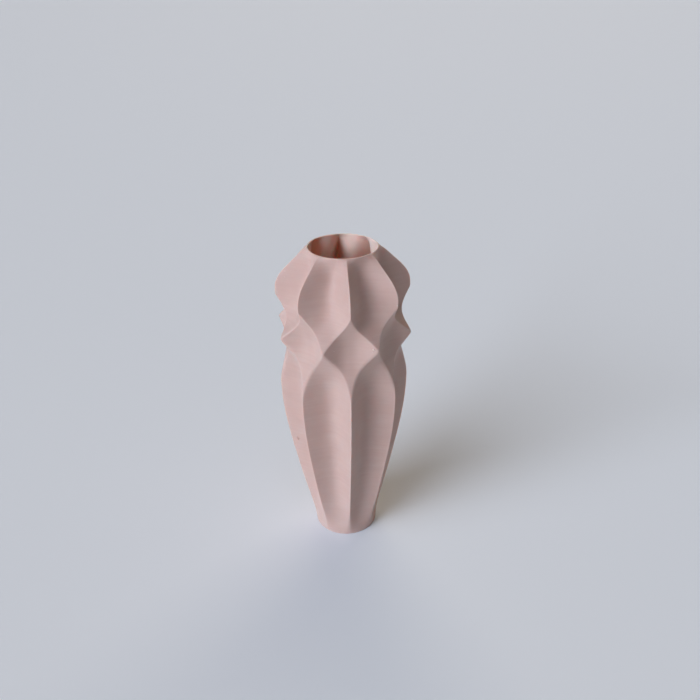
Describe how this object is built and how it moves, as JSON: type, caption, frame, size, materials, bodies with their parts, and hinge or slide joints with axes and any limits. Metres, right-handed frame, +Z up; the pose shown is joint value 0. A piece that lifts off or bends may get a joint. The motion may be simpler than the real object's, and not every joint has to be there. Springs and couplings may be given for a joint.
{
  "type": "vase",
  "caption": "Tall open vase with a fluted wall, a belt of diamond facets at the shoulder and a plain round mouth, 3-D printed in one piece.",
  "frame": {"origin": "centre of the foot's underside, on the surface that the vase stands on", "axes": "+Z up along the vase's axis, towards the mouth; one ridge faces -Y"},
  "size_m": [0.1006, 0.1006, 0.25],
  "materials": {
    "blush_plastic": "matte blush pink, with fine level print lines"
  },
  "bodies": {
    "root": {"vase": "blush_plastic"}
  },
  "joints": []
}
